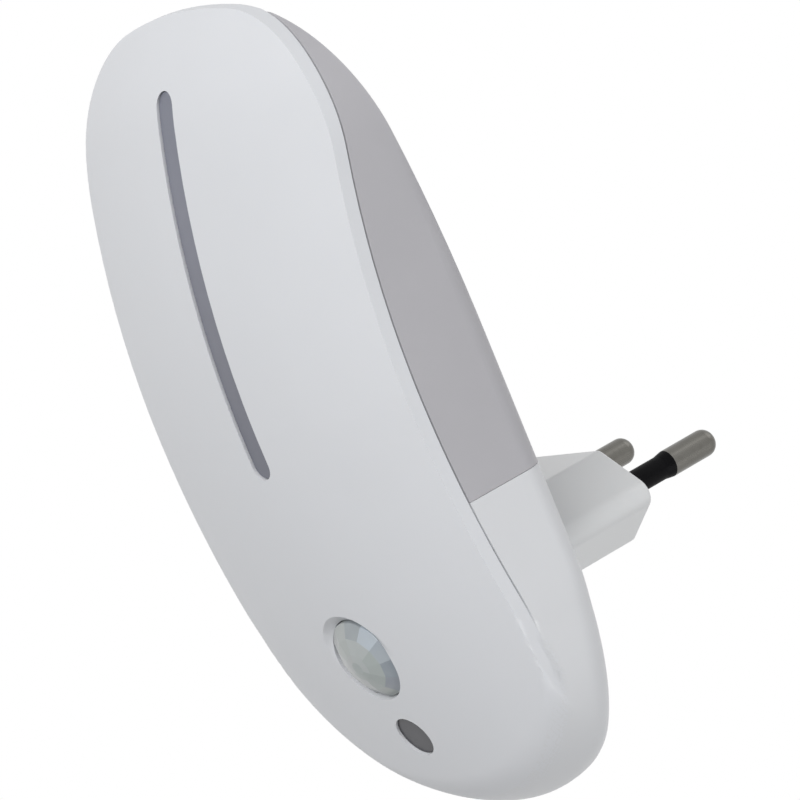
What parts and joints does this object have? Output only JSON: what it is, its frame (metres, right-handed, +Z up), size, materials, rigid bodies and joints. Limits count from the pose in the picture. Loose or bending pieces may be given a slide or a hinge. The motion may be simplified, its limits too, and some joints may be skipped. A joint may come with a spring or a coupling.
{
  "type": "plug-in night light",
  "caption": "Wall-plug night light: tall bowed housing with a lit vertical slit, faceted motion lens, small light-sensor window and a flat two-pin plug behind.",
  "frame": {"origin": "middle of the flat face of the plug body, midway between the two contact pins", "axes": "+Z up along the light slit, +Y out of the plug along the pins and into the wall socket, -Y out of the lit front, +X across the housing"},
  "size_m": [0.0638, 0.065, 0.1196],
  "materials": {
    "front_cover": "satin",
    "back_housing": "smooth",
    "rear_diffuser": "frosted translucent",
    "light_strip": "frosted translucent",
    "plug_plastic": "smooth",
    "pin_metal": "nickel plated",
    "sleeve_plastic": "black",
    "lens_plastic": "milky moulded lens",
    "window_plastic": "dark translucent",
    "inner_plastic": "white",
    "board_laminate": "solder resist",
    "screw_steel": "zinc plated",
    "strap_brass": "stamped",
    "link_copper": "tinned wire",
    "can_metal": "plated can",
    "filter_dark": "infrared filter",
    "sensor_clear": "clear epoxy",
    "led_body": "moulded LED",
    "film_red": "epoxy coated",
    "can_sleeve": "shrink sleeve",
    "package_black": "moulded epoxy",
    "varistor_blue": "epoxy coated",
    "resistor_green": "cement coated",
    "chip_ceramic": "ceramic"
  },
  "bodies": {
    "root": {"front_cover": "front_cover", "back_housing": "back_housing", "rear_diffuser": "rear_diffuser", "light_strip": "light_strip", "light_box": "inner_plastic", "motion_lens": "lens_plastic", "lens_holder": "inner_plastic", "motion_sensor": "can_metal", "motion_filter": "filter_dark", "light_window": "window_plastic", "light_sensor": "sensor_clear", "plug_body": "plug_plastic", "contact_pin_left": "pin_metal", "contact_pin_right": "pin_metal", "pin_sleeve_left": "sleeve_plastic", "pin_sleeve_right": "sleeve_plastic", "contact_strap_left": "strap_brass", "contact_strap_right": "strap_brass", "control_board": "board_laminate", "led_board": "board_laminate", "board_links": "link_copper", "leds": "led_body", "film_capacitor": "film_red", "electrolytic_capacitor": "can_sleeve", "bridge_rectifier": "package_black", "controller_chip": "package_black", "varistor": "varistor_blue", "fusible_resistor": "resistor_green", "chip_parts": "chip_ceramic", "board_screws": "screw_steel", "housing_screws": "screw_steel", "plug_screws": "screw_steel"}
  },
  "joints": []
}
